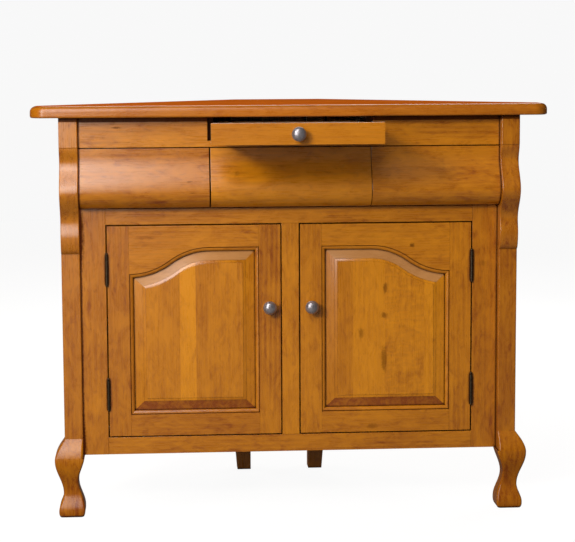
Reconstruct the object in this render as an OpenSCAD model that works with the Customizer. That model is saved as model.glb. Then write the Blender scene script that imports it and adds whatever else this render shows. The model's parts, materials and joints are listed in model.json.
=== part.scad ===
// Corner buffet in solid wood: flat front, two cathedral doors, a swelling drawer row,
// a shallow tray drawer under the top, scrolled front posts on cabriole feet, and two
// diagonal backs that stand against the walls of a room corner.
// X runs to the right, Y to the back and Z up; the origin is on the floor at the middle.

/* [Case] */
// Width of the case across the outer faces of the front posts
case_w = 971; // [860:1:1200]
// Floor to the lower edge of the door frame
floor_gap = 128.5; // [100:0.5:160]
// Height of the rail below the doors
bottom_rail_h = 37; // [30:0.5:60]
// Height of the door opening
opening_h = 458; // [420:1:560]
// Height of the rail above the doors
mid_rail_h = 34.5; // [34:0.5:60]
// Height of the swelling drawer row
swell_h = 130; // [110:1:160]
// Height of the apron board
apron_h = 64; // [62:1:80]
// Width of each outer stile of the door frame
stile_w = 54; // [40:0.5:70]
// Width of the stile between the doors
mullion_w = 37; // [30:0.5:60]
// Thickness of the door frame
frame_t = 20; // [18:0.5:25]
// How far the apron and the drawer row stand before the door frame
row_proud = 21; // [18:0.5:26]
// Thickness of the short side boards
side_t = 18; // [12:0.5:22]
// Thickness of the back boards
back_t = 9; // [6:0.5:15]
// Width of each rear leg
rear_leg_w = 42; // [34:1:55]
// Gap between the back boards and the walls
wall_gap = 8; // [3:0.5:20]

/* [Top board] */
// Thickness of the top board
top_t = 24; // [18:1:32]
// Overhang of the top board past the posts at each side
top_side = 58.5; // [35:0.5:80]
// Overhang of the top board before the door frame
top_front = 64; // [64:1:90]
// Length of the straight side edge of the top board, front edge to wall
top_return = 65; // [65:1:160]
// Width of the flat rear end of the top board
top_rear_w = 200; // [180:1:400]
// Radius of the front corners of the top board, seen from above
top_corner_r = 30; // [20:1:45]
// Rounding of the upper front arris of the top board
top_round = 12; // [4:0.5:14]
// Rounding of the lower front arris of the top board
top_under_round = 4; // [2:0.5:6]

/* [Front posts] */
// Width of each front post
post_w = 39; // [34:1:55]
// Depth of each front post
post_d = 40; // [34:1:60]
// How far the post face stands before the door frame
post_proud = 22; // [14:0.5:26]
// Scroll: how far the flat cap stands before the post face
cap_proud = 22; // [12:0.5:24]
// Scroll: how far the cove below the cap stands before the post face
cove_proud = 11; // [6:0.5:14]
// Scroll: how far the large swell stands before the post face
swell_proud = 40; // [26:0.5:41]
// Scroll: how far the neck stands before the post face
neck_proud = 8.5; // [4:0.5:12]
// Scroll: how far the small swell stands before the post face
foot_swell_proud = 13.5; // [12:0.5:22]
// Height of the small swell below the drawer row
small_swell_drop = 57; // [45:1:70]
// Height of the end of the scroll below the drawer row
scroll_drop = 93; // [80:1:120]
// Height of the cabriole foot
leg_h = 172; // [165:1:200]
// How far the knee swells outward
knee_out = 21; // [8:0.5:28]
// How far the toe spreads outward
toe_out = 12.5; // [4:0.5:18]
// How far the ankle is drawn in on its inner side
ankle_in = 13.5; // [4:0.5:15]

/* [Drawer row] */
// Width of the drawer front between the two fixed swelling panels
drawer_front_w = 340; // [300:1:420]
// Open seam around the swelling panels
row_seam = 1.8; // [1:0.1:3]
// How far the drawer front sits to the right of the middle of its opening
drawer_shift = 0.7; // [-0.7:0.1:0.7]
// How far the swell stands before the apron
row_swell = 24; // [12:0.5:28]
// How far the lower edge turns back behind the apron face
row_turn = 12; // [6:0.5:16]
// Height of the swell above the lower edge of the drawer row
swell_rise = 37; // [30:1:60]
// Height of the drawer sides
drawer_side_h = 92; // [70:1:100]
// Length of the drawer sides
drawer_len = 290; // [220:1:300]
// Thickness of the drawer sides
drawer_side_t = 12; // [10:0.5:16]

/* [Tray] */
// Width of the tray front
tray_w = 347; // [300:1:400]
// Height of the tray front
tray_h = 43; // [36:0.5:44]
// Thickness of the tray front
tray_front_t = 19; // [16:0.5:21]
// Gap round the tray front in the apron notch
tray_gap = 1.5; // [1:0.1:3]
// Height of the tray sides
tray_side_h = 31; // [24:0.5:34]
// Thickness of the tray sides
tray_side_t = 10; // [8:0.5:14]
// Length of the tray sides
tray_len = 300; // [280:1:330]
// How far the tray stands open
tray_pull = 225; // [0:1:260]
// Gap between the tray front and the top board
tray_head_gap = 6.5; // [3:0.5:10]

/* [Doors] */
// Gap between a door and the frame above and below it
door_gap = 2.6; // [1:0.1:3]
// Gap between a door and the stile in the middle
lock_gap = 2.6; // [1.5:0.1:3]
// Gap between a door and the outer stile, where the hinge leaves lie
hinge_gap = 2.8; // [2.8:0.1:4]
// Flat width of the door stiles and of the lower door rail
member_w = 46; // [38:0.5:60]
// Flat height of the arched rail at its middle end
crown_h = 47; // [38:0.5:60]
// Rise of the arch
arch_rise = 56; // [30:1:80]
// Length of the level part of the arch next to the middle
arch_flat = 106; // [60:1:140]
// Width of the moulded edge round the panel
mould_w = 8.5; // [5:0.5:12]
// Depth of the moulded edge round the panel
mould_d = 9; // [6:0.5:9]
// Thickness of the panel tongue
tongue_t = 6; // [4:0.5:7]
// Width of the panel bevel
bevel_w = 20; // [15:0.5:35]
// Depth of the panel field behind the door face
field_inset = 1; // [0:0.5:4]
// Height of the sloping step round the panel field
field_step = 3.2; // [0.5:0.1:3.5]
// Width of the sloping step round the panel field
field_slope = 6; // [0:0.5:10]

/* [Hardware] */
// Diameter of the knobs
knob_d = 32; // [24:1:40]
// How far the knobs stand out
knob_l = 27; // [20:1:35]
// Distance of a door knob from the door edge
knob_in = 24; // [16:0.5:35]
// Height of the door knobs above the door's lower edge
knob_h = 275.5; // [150:0.5:400]
// Radius of the hinge barrel
barrel_r = 3.3; // [2.8:0.1:3.5]
// Radius of the hinge pin
pin_r = 1.8; // [1.5:0.1:2]
// Length of the hinge barrel without its finials
barrel_l = 60; // [50:1:80]
// Length of each finial
finial_l = 6.5; // [4:0.5:9]
// Thickness of the hinge leaves
leaf_t = 1.2; // [0.8:0.1:1.2]
// Depth of the hinge leaves
leaf_d = 17; // [12:0.5:18]
// Height of the lower hinge's middle above the door's lower edge
hinge_low = 91; // [60:1:140]
// Height of the upper hinge's middle below the door's upper edge
hinge_high = 93; // [60:1:140]

/* [Inside] */
// Thickness of the shelves
shelf_t = 18; // [12:0.5:22]
// Height of the loose shelf above the cupboard floor
shelf_up = 222; // [120:1:330]
// Thickness of the dust panel under the drawer
dust_t = 12; // [9:0.5:12]
// Radius of the shelf pins
shelf_pin_r = 2.5; // [2:0.1:4]
// Spacing of the shelf pin holes
pin_pitch = 32; // [25:1:50]

/* [Hidden] */

$fn = 48;
curve_steps = 7;       // straight steps in each half wave of a carved curve
tiny = 0.25;           // least width of a moulded edge where it starts
taper = 0.05;          // slight slope of the groove's walls and the moulding's step
clear = 0.3;           // gap that a sliding or loose piece keeps
slide_gap = 1;         // gap beside a drawer or tray side
plate_t = 1.2;         // thickness of a strike plate
groove_d = 5;          // depth of the groove that holds a drawer bottom
margin = 60;           // more than any carved reach, for outlines that are cut by another
overcut = 1;           // how far a cut runs past the face it opens

cherry = [0.74, 0.43, 0.17];
cherry_top = [0.72, 0.36, 0.13];
cherry_panel = [0.78, 0.47, 0.20];
inner_wood = [0.83, 0.66, 0.43];
pewter = [0.42, 0.41, 0.40];
bronze = [0.20, 0.16, 0.13];

// Heights
z_rail = floor_gap;
z_open = z_rail + bottom_rail_h;
z_mid = z_open + opening_h;
z_row = z_mid + mid_rail_h;
z_apron = z_row + swell_h;
z_top = z_apron + apron_h;

// Half widths
case_x = case_w / 2;
post_x = case_x - post_w;
open_x = post_x - stile_w;
mull_x = mullion_w / 2;
side_x = case_x - side_t;
top_x = case_x + top_side;
seam_x = (drawer_front_w + row_seam) / 2;

// Depths from the face of the door frame
wall_sum = top_x + top_return - top_front;
case_sum = wall_sum - wall_gap * sqrt(2);
inner_sum = case_sum - back_t * sqrt(2);
top_rear = wall_sum - top_rear_w / 2;
case_rear = top_rear - wall_gap;
leg_front = case_rear - rear_leg_w;
leg_x1 = case_sum - case_rear + rear_leg_w / 3;
leg_x0 = leg_x1 - rear_leg_w;
knob_reach = row_proud + tray_pull + knob_l;
face_y = (max(knob_reach, top_front) - top_rear) / 2;

// Tray, drawn where it stands open
tray_side_up = 4;      // height of its sides above the lower edge of its front
tray_lap = 12;         // how far its front laps past each side
tray_bottom_t = 5;
tray_z = z_top - tray_head_gap - tray_h;
tray_side_z = tray_z + tray_side_up;
tray_groove_z = tray_side_z + groove_d;
tray_out_x = tray_w / 2 - tray_lap;
tray_y = -row_proud - tray_pull;
tray_y0 = tray_y + tray_front_t;
tray_y1 = tray_y0 + tray_len;
rail_top = tray_z - tray_gap;

// Drawer and the panel under it
drawer_stile_w = 42;
drawer_inset = 6;      // gap between a drawer side and the stile beside it
drawer_lift = 8;       // height of the drawer sides above the lower edge of the row
drawer_bottom_t = 6;
front_gap = 0.5;       // gap between the back of the drawer front and the frame
dust_drop = 8;         // depth of the dust panel below the drawer row
drawer_stile_x0 = tray_out_x + slide_gap;
drawer_out_x = drawer_stile_x0 - drawer_inset;
drawer_z = z_row + drawer_lift;
drawer_groove_z = drawer_z + drawer_lift;
drawer_y0 = -front_gap;
drawer_y1 = drawer_y0 + drawer_len;
dust_z = z_row - dust_drop - dust_t;

// Runners: how far they reach under a side and past it, and the height of each kind
runner_lap = 4;
runner_w = 12;
guide_h = 14;
tray_runner_h = 9;

// Door, drawn as the right one
door_x0 = mull_x + lock_gap;
door_x1 = open_x - hinge_gap;
door_z0 = z_open + door_gap;
door_z1 = z_mid - door_gap;
flat_lock = door_x0 + member_w;
flat_hinge = door_x1 - member_w;
flat_low = door_z0 + member_w;
arch_high = door_z1 - crown_h;
arch_low = arch_high - arch_rise;
arch_x = flat_lock + arch_flat;
arch_run = flat_hinge - arch_x;
arch_angle = 2 * atan(arch_rise / arch_run);
arch_r = arch_run / (2 * sin(arch_angle));
groove_y0 = mould_d;
groove_y1 = mould_d + tongue_t;
hinge_x = open_x - hinge_gap / 2;
hinge_y = -barrel_r - 0.1;
hinge_z = [door_z0 + hinge_low, door_z1 - hinge_high];
knuckles = 5;
knuckle_gap = 0.3;
knuckle_l = (barrel_l - (knuckles - 1) * knuckle_gap) / knuckles;
pin_play = 0.05;
knob_x = door_x0 + knob_in;
knob_z = door_z0 + knob_h;
screw_r = 2;
screw_play = 0.1;
knob_bore_l = 14;
catch_x = door_x0 + 6;
catch_l = 40;
catch_t = 14;
catch_drop = 16;       // how far a catch reaches below the door's upper edge

// Shelves and the pins that carry the loose one
floor_z = z_open;
shelf_z = floor_z + shelf_up;
shelf_play = 1.5;
pin_len = 18;
pin_seat = 10;
pin_rows = [-1, 0, 1];
pin_y = post_d - post_proud + 15;
leg_pin_x = (leg_x0 + case_sum - case_rear) / 2;

// A wave through knots [height, reach]: each piece starts and ends level in reach.
function wave(knots) = concat(
    [for (k = [0:len(knots) - 2], i = [0:curve_steps - 1])
        let (t = i / curve_steps, s = (1 - cos(180 * t)) / 2)
        [knots[k][0] + (knots[k + 1][0] - knots[k][0]) * t,
         knots[k][1] + (knots[k + 1][1] - knots[k][1]) * s]],
    [knots[len(knots) - 1]]);

// A quarter swell from [z0, r0], where it is steep, to [z1, r1], where it is upright.
function quarter(z0, r0, z1, r1) =
    [for (i = [0:curve_steps - 1]) let (t = i / curve_steps)
        [z0 + (z1 - z0) * t, r0 + (r1 - r0) * sin(90 * t)]];

// Carved outline of the leg, from the knee down: outward reach and inward reach.
knee_z = leg_h * 0.7;
ankle_z = leg_h * 0.31;
ankle_out = 2.5;
toe_z = 13;
sole_z = 2.5;
inner_knee = [leg_h * 0.82, 3.5];
inner_toe = [toe_z * 1.3, 2];
function leg_out() = concat(
    quarter(leg_h, 0, knee_z, knee_out),
    wave([[knee_z, knee_out], [ankle_z, ankle_out], [toe_z, toe_out]]),
    [[toe_z / 2, toe_out - 0.4], [sole_z, toe_out - 2], [0, toe_out - 5]]);
function leg_in() = concat(
    wave([[leg_h, 0], inner_knee, [leg_h * 0.39, -ankle_in], inner_toe]),
    [[toe_z / 2, inner_toe[1] - 0.8], [sole_z, inner_toe[1] - 3], [0, inner_toe[1] - 6]]);

// Reach of the scroll before the post face, from the top board down.
cap_edge = [2, 1.5];
cove_drop = 31;
neck_drop = 27;
function scroll() = concat(
    [[z_top, cap_proud], [z_apron + cap_edge[0], cap_proud]],
    wave([[z_apron, cap_proud - cap_edge[1]], [z_apron - cove_drop, cove_proud],
          [z_row + swell_rise, swell_proud], [z_row - neck_drop, neck_proud],
          [z_row - small_swell_drop, foot_swell_proud]]),
    [for (i = [1:curve_steps]) let (t = i / curve_steps)
        [z_row - small_swell_drop - (scroll_drop - small_swell_drop) * sin(90 * t),
         foot_swell_proud * cos(90 * t)]]);

// Section of the drawer row: reach before the apron face, upright at first, from the apron down.
row_flat = 18;
row_steps = 10;
function row_section(z1) = concat(
    [[z1, 0]],
    wave([[z_apron - row_flat, 0], [z_row + swell_rise, row_swell]]),
    [for (i = [1:row_steps]) let (t = i / row_steps)
        [z_row + swell_rise - (swell_rise - row_seam) * sin(90 * t),
         row_swell - (row_swell + row_turn) * (1 - cos(90 * t))]]);

function flip(pts) = [for (i = [len(pts) - 1:-1:0]) pts[i]];

module on_face() { translate([0, face_y, 0]) children(); }
module mirrored() { mirror([1, 0, 0]) children(); }

// A box from its low corner to its high corner.
module span(lo, hi) { translate(lo) cube(hi - lo); }

// An outline in X and Z, given thickness from y0 back to y1.
module wall(y0, y1) { translate([0, y1, 0]) rotate([90, 0, 0]) linear_extrude(y1 - y0) children(); }

// An outline in Y and Z, given length from x0 to x1.
module run(x0, x1) { translate([x0, 0, 0]) rotate([90, 0, 90]) linear_extrude(x1 - x0) children(); }

// A plan outline, given height from z0 to z1.
module slab(z0, z1) { translate([0, 0, z0]) linear_extrude(z1 - z0) children(); }

// A stack of equal outlines [x, z], one for each depth in ys, closed at both ends. Each
// outline runs out along one edge and back along the other, with as many points on both.
module stack(rings, ys) {
    n = len(rings[0]);
    m = len(rings);
    last = (m - 1) * n;
    points = [for (k = [0:m - 1], p = rings[k]) [p[0], ys[k], p[1]]];
    sides = [for (k = [0:m - 2], i = [0:n - 1]) let (j = (i + 1) % n)
        for (f = [[k * n + i, k * n + j, (k + 1) * n + j],
                  [k * n + i, (k + 1) * n + j, (k + 1) * n + i]]) f];
    ends = [for (i = [0:n / 2 - 2]) let (a = n - 1 - i, b = n - 2 - i)
        for (f = [[b, i + 1, i], [a, b, i], [last + i, last + i + 1, last + b],
                  [last + i, last + b, last + a]]) f];
    polyhedron(points, concat(sides, ends));
}

// Top board

// A disc with the section of the board's front edge; four of them span the board.
module edge_disc(x, y) {
    translate([x, y, 0]) rotate_extrude($fn = 32) {
        difference() {
            square([top_corner_r, top_t]);
            translate([top_corner_r - top_round, top_t - top_round]) difference() {
                square(top_round + overcut);
                circle(top_round, $fn = 32);
            }
            translate([top_corner_r - top_under_round, 0]) difference() {
                translate([0, -overcut]) square(top_under_round + overcut);
                translate([0, top_under_round]) circle(top_under_round, $fn = 24);
            }
        }
    }
}

module top_board() {
    reach = top_x - top_corner_r;
    color(cherry_top) on_face() translate([0, 0, z_top]) intersection() {
        hull() for (x = [-reach, reach], y = [top_corner_r - top_front, top_rear + top_x])
            edge_disc(x, y);
        linear_extrude(top_t) polygon([
            [-top_x, -top_front], [top_x, -top_front], [top_x, wall_sum - top_x],
            [top_rear_w / 2, top_rear], [-top_rear_w / 2, top_rear], [-top_x, wall_sum - top_x]]);
    }
}

// Front posts

module post_right() {
    out = leg_out();
    inn = leg_in();
    post_back = post_d - post_proud;
    color(cherry) on_face() difference() {
        intersection() {
            wall(-margin - post_proud, margin + post_back) polygon(concat(
                [[post_x, z_top], [case_x, z_top]],
                [for (p = out) [case_x + p[1], p[0]]],
                [for (p = flip(inn)) [post_x - p[1], p[0]]]));
            run(post_x - margin, case_x + margin) polygon(concat(
                [[post_back, z_top]],
                [for (p = scroll()) [-post_proud - p[1], p[0]]],
                [for (p = out) [-post_proud - p[1], p[0]]],
                [for (p = flip(inn)) [post_back + p[1], p[0]]]));
        }
        // room for the frame stile beside the knee and the side board behind it
        span([post_x - margin, 0, z_rail], [post_x, margin, z_top]);
        span([post_x - margin, post_back, z_rail], [case_x + margin, post_back + margin, z_top]);
    }
}

module post_left() { mirrored() post_right(); }

// Apron, drawer row and door frame

module apron_board() {
    notch = tray_w / 2 + tray_gap;
    color(cherry) on_face() difference() {
        span([-post_x, -row_proud, z_apron], [post_x, 0, z_top]);
        span([-notch, -row_proud - overcut, rail_top], [notch, overcut, z_top + overcut]);
    }
}

// A length of the swelling row from x0 to x1, flat at its back.
module swell_block(x0, x1, y_back) {
    run(x0, x1) polygon(concat(
        [[y_back, z_apron - row_seam]],
        [for (p = row_section(z_apron - row_seam)) [-row_proud - p[1], p[0]]],
        [[y_back, z_row + row_seam]]));
}

module swell_panel_right() {
    color(cherry) on_face() swell_block(seam_x + row_seam / 2, post_x, 0);
}

module swell_panel_left() { mirrored() swell_panel_right(); }

module frame_stile_right() {
    color(cherry) on_face() span([open_x, 0, z_rail], [post_x, frame_t, z_top]);
}

module frame_stile_left() { mirrored() frame_stile_right(); }

module frame_mullion() {
    color(cherry) on_face() span([-mull_x, 0, z_open], [mull_x, frame_t, z_mid]);
}

module frame_mid_rail() {
    color(cherry) on_face() span([-open_x, 0, z_mid], [open_x, frame_t, z_row]);
}

module frame_bottom_rail() {
    color(cherry) on_face() span([-open_x, 0, z_rail], [open_x, frame_t, z_open]);
}

module frame_top_rails() {
    rail_h = 34;
    color(inner_wood) on_face() for (s = [0, 1]) mirror([s, 0, 0])
        span([drawer_stile_x0 + drawer_stile_w, 0, z_top - rail_h], [open_x, frame_t, z_top]);
}

module drawer_stiles() {
    color(inner_wood) on_face() for (s = [0, 1]) mirror([s, 0, 0])
        span([drawer_stile_x0, 0, z_row], [drawer_stile_x0 + drawer_stile_w, frame_t, z_top]);
}

module tray_rail() {
    rail_h = 18;
    color(inner_wood) on_face()
        span([-drawer_stile_x0, 0, rail_top - rail_h], [drawer_stile_x0, frame_t, rail_top]);
}

// Sides, backs and rear legs

module side_board_right() {
    y0 = post_d - post_proud;
    color(cherry) on_face() difference() {
        slab(z_rail, z_top) polygon([[case_x, y0], [case_x, case_sum - case_x],
            [side_x, case_sum - side_x], [side_x, y0]]);
        for (k = pin_rows)
            translate([side_x - overcut, pin_y, shelf_z - shelf_pin_r + k * pin_pitch])
                rotate([0, 90, 0]) cylinder(r = shelf_pin_r + pin_play, h = pin_seat + overcut);
    }
}

module side_board_left() { mirrored() side_board_right(); }

module back_board_right() {
    color(cherry_panel) on_face() slab(z_rail, z_top) polygon([
        [side_x, case_sum - side_x], [side_x, inner_sum - side_x],
        [leg_x1, inner_sum - leg_x1], [leg_x1, case_sum - leg_x1]]);
}

module back_board_left() { mirrored() back_board_right(); }

module back_board_rear() {
    color(cherry_panel) on_face()
        span([-leg_x0, case_rear - back_t, z_rail], [leg_x0, case_rear, z_top]);
}

module rear_leg_right() {
    foot_w = rear_leg_w * 0.75;
    color(cherry) on_face() difference() {
        intersection() {
            slab(0, z_top) polygon([[leg_x0, leg_front], [leg_x1, leg_front],
                [leg_x1, case_sum - leg_x1], [case_sum - case_rear, case_rear],
                [leg_x0, case_rear]]);
            wall(leg_front - overcut, case_rear + overcut) polygon([[leg_x0, z_top], [leg_x1, z_top],
                [leg_x1, z_rail], [leg_x0 + foot_w, 0], [leg_x0, 0]]);
        }
        for (k = pin_rows)
            translate([leg_pin_x, leg_front + pin_seat, shelf_z - shelf_pin_r + k * pin_pitch])
                rotate([90, 0, 0]) cylinder(r = shelf_pin_r + pin_play, h = pin_seat + overcut);
    }
}

module rear_leg_left() { mirrored() rear_leg_right(); }

// Shelves and panels inside

// Plan of a shelf that keeps a gap of play to the frame, the sides and the backs.
module shelf_plan(play) {
    x = side_x - play;
    y1 = leg_front - play;
    back_sum = inner_sum - play * sqrt(2);
    polygon([[-x, frame_t + play], [x, frame_t + play], [x, back_sum - x], [back_sum - y1, y1],
        [y1 - back_sum, y1], [-x, back_sum - x]]);
}

module bottom_shelf() {
    color(inner_wood) on_face() slab(floor_z - shelf_t, floor_z) shelf_plan(0);
}

module loose_shelf() {
    color(inner_wood) on_face() slab(shelf_z, shelf_z + shelf_t) shelf_plan(shelf_play);
}

module dust_panel() {
    color(inner_wood) on_face() slab(dust_z, dust_z + dust_t) shelf_plan(0);
}

module shelf_pins() {
    z = shelf_z - shelf_pin_r;
    color(pewter) on_face() for (s = [0, 1]) mirror([s, 0, 0]) {
        translate([side_x - pin_len + pin_seat, pin_y, z])
            rotate([0, 90, 0]) cylinder(r = shelf_pin_r, h = pin_len - clear);
        translate([leg_pin_x, leg_front + pin_seat - clear, z])
            rotate([90, 0, 0]) cylinder(r = shelf_pin_r, h = pin_len - clear);
    }
}

module drawer_runners() {
    inner = drawer_out_x - drawer_side_t - runner_lap;
    outer = drawer_out_x + runner_w;
    guide = drawer_out_x + slide_gap;
    seat = drawer_z - clear;
    low = dust_z + dust_t;
    color(inner_wood) on_face() for (s = [0, 1]) mirror([s, 0, 0])
        wall(frame_t, frame_t + drawer_len) polygon([[inner, low], [outer, low],
            [outer, seat + guide_h], [guide, seat + guide_h], [guide, seat], [inner, seat]]);
}

module tray_runners() {
    inner = tray_out_x - tray_side_t - runner_lap;
    outer = tray_out_x + runner_w;
    guide = tray_out_x + slide_gap;
    seat = tray_side_z - clear;
    low = seat - tray_runner_h;
    color(inner_wood) on_face() for (s = [0, 1]) mirror([s, 0, 0])
        wall(frame_t, frame_t + tray_len) polygon([[inner, low], [outer, low], [outer, z_top],
            [guide, z_top], [guide, seat], [inner, seat]]);
}

// Drawer behind the swelling front

// A side with a groove for the bottom board on its inner face.
module side_piece(x, t, y0, y1, z0, h, groove_z, groove_h) {
    difference() {
        span([x - t, y0, z0], [x, y1, z0 + h]);
        span([x - t - overcut, y0 - overcut, groove_z],
            [x - t + groove_d, y1 + overcut, groove_z + groove_h]);
    }
}

module drawer_front() {
    half = seam_x - row_seam / 2;
    color(cherry) on_face() swell_block(drawer_shift - half, drawer_shift + half, -front_gap);
}

module drawer_side_right() {
    color(inner_wood) on_face() side_piece(drawer_out_x, drawer_side_t, drawer_y0, drawer_y1,
        drawer_z, drawer_side_h, drawer_groove_z, drawer_bottom_t);
}

module drawer_side_left() { mirrored() drawer_side_right(); }

module drawer_back() {
    x = drawer_out_x - drawer_side_t;
    z = drawer_groove_z + drawer_bottom_t;
    color(inner_wood) on_face()
        span([-x, drawer_y1 - drawer_side_t, z], [x, drawer_y1, drawer_z + drawer_side_h]);
}

module drawer_bottom() {
    x = drawer_out_x - drawer_side_t + groove_d - clear;
    color(inner_wood) on_face() span([-x, drawer_y0, drawer_groove_z],
        [x, drawer_y1, drawer_groove_z + drawer_bottom_t]);
}

// Tray

module tray_front() {
    x = tray_w / 2;
    color(cherry) on_face() difference() {
        span([-x, tray_y, tray_z], [x, tray_y0, tray_z + tray_h]);
        translate([0, tray_y0 + overcut, tray_z + tray_h / 2]) rotate([90, 0, 0])
            cylinder(r = screw_r + screw_play, h = tray_front_t + 2 * overcut);
    }
}

module tray_side_right() {
    color(inner_wood) on_face() side_piece(tray_out_x, tray_side_t, tray_y0, tray_y1,
        tray_side_z, tray_side_h, tray_groove_z, tray_bottom_t);
}

module tray_side_left() { mirrored() tray_side_right(); }

module tray_back() {
    x = tray_out_x - tray_side_t;
    z = tray_groove_z + tray_bottom_t;
    color(inner_wood) on_face()
        span([-x, tray_y1 - tray_side_t, z], [x, tray_y1, tray_side_z + tray_side_h]);
}

module tray_bottom() {
    x = tray_out_x - tray_side_t + groove_d - clear;
    color(inner_wood) on_face() span([-x, tray_y0, tray_groove_z],
        [x, tray_y1, tray_groove_z + tray_bottom_t]);
}

// Knobs

// A turned knob: foot, waist and mushroom head with a rolled rim and a low dome.
module knob(x, y, z) {
    rim_r = 2.6;
    dome_r = knob_d * 0.78;
    neck_r = knob_d * 0.16;
    rim_z = knob_l * 0.7;
    foot_r = knob_d * 0.25;
    foot_t = 2.2;
    head_l = 7;
    color(pewter) on_face() translate([x, y, z]) rotate([90, 0, 0]) difference() {
        rotate_extrude() {
            square([foot_r, foot_t]);
            square([neck_r, rim_z]);
            polygon([[0, foot_t], [foot_r - overcut, foot_t], [neck_r, 2 * foot_t],
                [neck_r, rim_z - head_l], [knob_d / 2 - rim_r, rim_z - rim_r],
                [0, rim_z - rim_r]]);
            translate([knob_d / 2 - rim_r, rim_z]) circle(rim_r);
            square([knob_d / 2 - rim_r, rim_z + rim_r]);
            intersection() {
                translate([0, knob_l - dome_r]) circle(dome_r);
                translate([0, rim_z]) square([knob_d / 2 - rim_r, knob_l]);
            }
        }
        translate([0, 0, -overcut])
            cylinder(r = screw_r + pin_play, h = knob_bore_l + overcut);
    }
}

// The knob's screw, with its head behind wood of the given thickness.
module knob_screw(x, y, z, wood) {
    head_r = 4.5;
    head_l = 2.5;
    color(pewter) on_face() translate([x, y + wood + head_l, z]) rotate([90, 0, 0]) {
        cylinder(r = screw_r, h = head_l + wood + knob_bore_l - 2);
        cylinder(r = head_r, h = head_l);
    }
}

module tray_knob() { knob(0, tray_y, tray_z + tray_h / 2); }

module tray_knob_screw() { knob_screw(0, tray_y, tray_z + tray_h / 2, tray_front_t); }

// Doors, drawn as the right one

// Section of the moulded edge: [width, depth] from the face to the groove.
quirk = 1.8;
function mould() = concat([[tiny, 0], [tiny, quirk], [quirk, quirk + taper]],
    [for (i = [1:4]) let (a = 22.5 * i)
        [quirk + (mould_w - quirk) * sin(a),
         quirk + taper + (mould_d - 2 * quirk) * (1 - cos(a))]],
    [[mould_w, groove_y0]]);

// A straight edge from a to b with as many points as an outline of n points.
function edge_line(a, b, n) = [for (i = [0:n - 1]) a + (b - a) * i / (n - 1)];

// Lower outline of the arched rail, moved e into the panel opening, hinge side first.
arch_steps = 8;
function arch(e) = concat(
    [for (i = [0:arch_steps]) let (a0 = asin(e / (arch_r + e)),
        a = a0 + (arch_angle - a0) * i / arch_steps)
        [flat_hinge - (arch_r + e) * sin(a), arch_low + arch_r - (arch_r + e) * cos(a)]],
    [for (i = [arch_steps - 1:-1:0]) let (a = arch_angle * i / arch_steps)
        [arch_x + (arch_r - e) * sin(a), arch_high - arch_r + (arch_r - e) * cos(a)]],
    [[flat_lock + e, arch_high - e]]);

module mould_section() {
    polygon(concat([[-overcut, 0]], mould(), [[0, groove_y0], [-overcut, groove_y0]]));
    translate([-overcut, groove_y1]) square([mould_w + overcut, frame_t - groove_y1]);
}

// A stile left of x = 0 with its moulded edge beyond it, mitred against both rails.
module moulded_stile(z_end) {
    span([-member_w, 0, door_z0], [0, frame_t, door_z1]);
    intersection() {
        slab(door_z0, door_z1) mould_section();
        wall(-overcut, frame_t + overcut) polygon([[-overcut, flat_low - overcut],
            [mould_w, flat_low + mould_w], [mould_w, z_end - mould_w],
            [-overcut, z_end + overcut]]);
    }
}

module right_hinge_stile() {
    color(cherry) on_face() translate([flat_hinge, 0, 0]) mirror([1, 0, 0])
        moulded_stile(arch_low);
}

module right_lock_stile() {
    color(cherry) on_face() difference() {
        translate([flat_lock, 0, 0]) moulded_stile(arch_high);
        translate([knob_x, frame_t + overcut, knob_z]) rotate([90, 0, 0])
            cylinder(r = screw_r + screw_play, h = frame_t + 2 * overcut);
    }
}

module right_bottom_rail() {
    color(cherry) on_face() union() {
        span([flat_lock, 0, door_z0], [flat_hinge, frame_t, flat_low]);
        intersection() {
            translate([flat_lock, 0, flat_low]) rotate([90, 0, 90])
                linear_extrude(flat_hinge - flat_lock) mirror([1, -1, 0]) mould_section();
            wall(-overcut, frame_t + overcut) polygon([
                [flat_lock - overcut, flat_low - overcut],
                [flat_hinge + overcut, flat_low - overcut],
                [flat_hinge - mould_w, flat_low + mould_w],
                [flat_lock + mould_w, flat_low + mould_w]]);
        }
    }
}

module right_arched_rail() {
    steps = concat(mould(), [[tiny, groove_y0 + taper], [tiny, groove_y1 - taper],
        [mould_w, groove_y1], [mould_w, frame_t]]);
    lower = [for (p = steps) concat([[flat_hinge, arch_low]], arch(p[0]),
        [[flat_lock, arch_high]])];
    rings = [for (line = lower) concat(line,
        edge_line([flat_lock, door_z1], [flat_hinge, door_z1], len(line)))];
    color(cherry) on_face() stack(rings, [for (p = steps) p[1]]);
}

module right_panel() {
    play = 0.15;       // gap of the tongue in its groove
    edge = 0.7;        // gap between the tongue and the ground of the groove
    bevel_in = mould_w + bevel_w;
    steps = [[bevel_in + field_slope, field_inset], [bevel_in, field_inset + field_step],
        [mould_w, groove_y0 + play], [edge, groove_y0 + play], [edge, groove_y1 - play]];
    rings = [for (p = steps) let (line = arch(p[0])) concat(
        edge_line([flat_hinge - p[0], flat_low + p[0]], [flat_lock + p[0], flat_low + p[0]],
            len(line)), flip(line))];
    color(cherry_panel) on_face() stack(rings, [for (p = steps) p[1]]);
}

module right_knob() { knob(knob_x, 0, knob_z); }
module right_knob_screw() { knob_screw(knob_x, 0, knob_z, frame_t); }

module left_hinge_stile() { mirrored() right_hinge_stile(); }
module left_lock_stile() { mirrored() right_lock_stile(); }
module left_arched_rail() { mirrored() right_arched_rail(); }
module left_bottom_rail() { mirrored() right_bottom_rail(); }
module left_panel() { mirrored() right_panel(); }
module left_knob() { mirrored() right_knob(); }
module left_knob_screw() { mirrored() right_knob_screw(); }

// Hinges: five knuckles, of which the second and fourth belong to the door

function knuckle_z(k) = k * (knuckle_l + knuckle_gap) - barrel_l / 2;

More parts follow.
